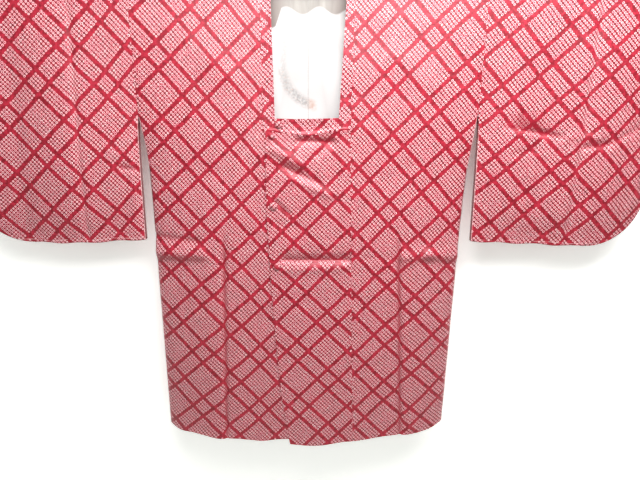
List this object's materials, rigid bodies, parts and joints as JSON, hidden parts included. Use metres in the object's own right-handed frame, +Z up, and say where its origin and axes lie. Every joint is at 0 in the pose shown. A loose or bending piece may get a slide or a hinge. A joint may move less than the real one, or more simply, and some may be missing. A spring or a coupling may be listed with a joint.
{
  "type": "michiyuki coat on a hanger",
  "caption": "Square-necked michiyuki coat of lattice-patterned red silk, buttoned left over right, hung flat with its sleeves spread on a wooden rod hanger with a steel hook.",
  "frame": {"origin": "inside top of the hanger's hook, where it hangs on a rail", "axes": "+X to the wearer's left along the hanger's rod, +Y towards the coat's back, +Z up; the front faces -Y"},
  "size_m": [1.2894, 0.0848, 0.961],
  "materials": {
    "face_silk": "figured red silk with a paler ring pattern in a diagonal lattice, soft satin sheen",
    "lining_silk": "smooth white silk lining with a faint shaded motif",
    "rod_wood": "plain turned wood, satin",
    "hook_steel": "drawn wire, nickel plated"
  },
  "bodies": {
    "root": {"body_left": "face_silk", "body_right": "face_silk", "lap_left": "face_silk", "lap_right": "face_silk", "sleeve_left": "face_silk", "sleeve_right": "face_silk", "collar": "face_silk", "button_1": "face_silk", "button_2": "face_silk", "button_3": "face_silk", "button_4": "face_silk", "lining_left": "lining_silk", "lining_right": "lining_silk", "hanger_rod": "rod_wood", "hanger_hook": "hook_steel"}
  },
  "joints": []
}
